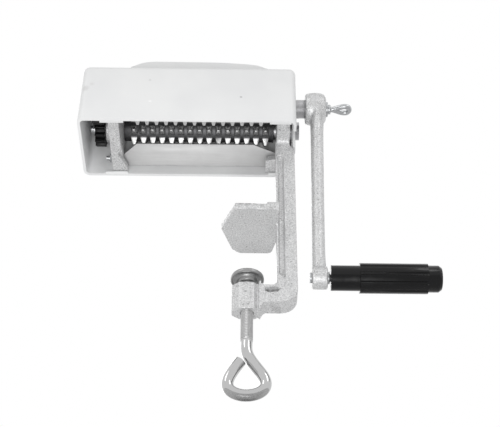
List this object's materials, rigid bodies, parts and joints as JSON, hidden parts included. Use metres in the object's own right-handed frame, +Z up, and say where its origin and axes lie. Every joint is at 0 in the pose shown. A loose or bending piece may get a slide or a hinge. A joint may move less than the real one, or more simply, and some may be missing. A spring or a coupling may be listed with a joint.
{
  "type": "clamp-on meat tenderizer",
  "caption": "Hand-cranked clamp-on kitchen roller machine: geared pair of interleaving toothed rollers under a plastic hood with a feed throat, on a table clamp.",
  "frame": {"origin": "point where the clamp screw's axis meets the underside of the jaw plate, the face that rests on the table top", "axes": "+Z up along the clamp screw, +X along the rollers towards the crank, +Y away from the user's side towards the back roller"},
  "size_m": [0.302, 0.072, 0.3524],
  "materials": {
    "hood_plastic": "semi-gloss white moulded plastic",
    "cast_metal": "tinned casting, bright and grainy",
    "guide_sheet": "bright rolled sheet",
    "plated_steel": "zinc plated",
    "bush_plastic": "grey bearing plastic",
    "shaft_steel": "turned",
    "roller_metal": "dull machined metal",
    "gear_plastic": "black moulded plastic",
    "grip_plastic": "glossy black moulded plastic",
    "screw_steel": "bright plated steel",
    "pad_steel": "pressed plated steel"
  },
  "bodies": {
    "housing": {"hood": "hood_plastic", "clamp_frame": "cast_metal", "gear_end_plate": "cast_metal", "front_guide_plate": "guide_sheet", "back_guide_plate": "guide_sheet", "front_tie_rod": "plated_steel", "back_tie_rod": "plated_steel", "front_tie_nut": "plated_steel", "back_tie_nut": "plated_steel", "front_tie_washer": "plated_steel", "back_tie_washer": "plated_steel", "front_guide_stud": "plated_steel", "back_guide_stud": "plated_steel", "front_guide_nut": "plated_steel", "back_guide_nut": "plated_steel", "front_guide_screw": "plated_steel", "back_guide_screw": "plated_steel", "front_gear_bush": "bush_plastic", "back_gear_bush": "bush_plastic", "front_crank_bush": "bush_plastic", "back_crank_bush": "bush_plastic"},
    "front_drive": {"front_shaft": "shaft_steel", "front_roller": "roller_metal", "front_gear": "gear_plastic", "front_gear_washer": "plated_steel", "front_gear_screw": "plated_steel", "crank_arm": "cast_metal", "crank_washer": "plated_steel", "eye_screw": "plated_steel", "grip_pin": "plated_steel"},
    "back_drive": {"back_shaft": "shaft_steel", "back_roller": "roller_metal", "back_gear": "gear_plastic", "back_gear_washer": "plated_steel", "back_gear_screw": "plated_steel"},
    "grip": {"grip": "grip_plastic"},
    "pad": {"clamp_pad": "pad_steel"},
    "clamp_screw": {"clamp_screw": "screw_steel"}
  },
  "joints": [
    {"name": "crank_turn", "type": "hinge", "parent": "housing", "child": "front_drive", "pos_m": [0, -0.014, 0.13], "axis": [1, 0, 0], "continuous": true},
    {"name": "back_roller_turn", "type": "hinge", "parent": "housing", "child": "back_drive", "pos_m": [0, 0.014, 0.13], "axis": [1, 0, 0], "continuous": true},
    {"name": "grip_spin", "type": "hinge", "parent": "front_drive", "child": "grip", "pos_m": [0.1, -0.014, -0.0604], "axis": [1, 0, 0], "continuous": true},
    {"name": "clamp_travel", "type": "slide", "parent": "housing", "child": "pad", "axis": [0, 0, 1], "range_m": [-0.002, 0.034]},
    {"name": "clamp_screw_turn", "type": "hinge", "parent": "pad", "child": "clamp_screw", "pos_m": [0, 0, -0.1], "axis": [0, 0, 1], "continuous": true}
  ],
  "couplings": [
    {"joint": "back_roller_turn", "follows": "crank_turn", "ratio": -1},
    {"joint": "clamp_screw_turn", "follows": "clamp_travel", "rad_per_m": 4188.8}
  ]
}
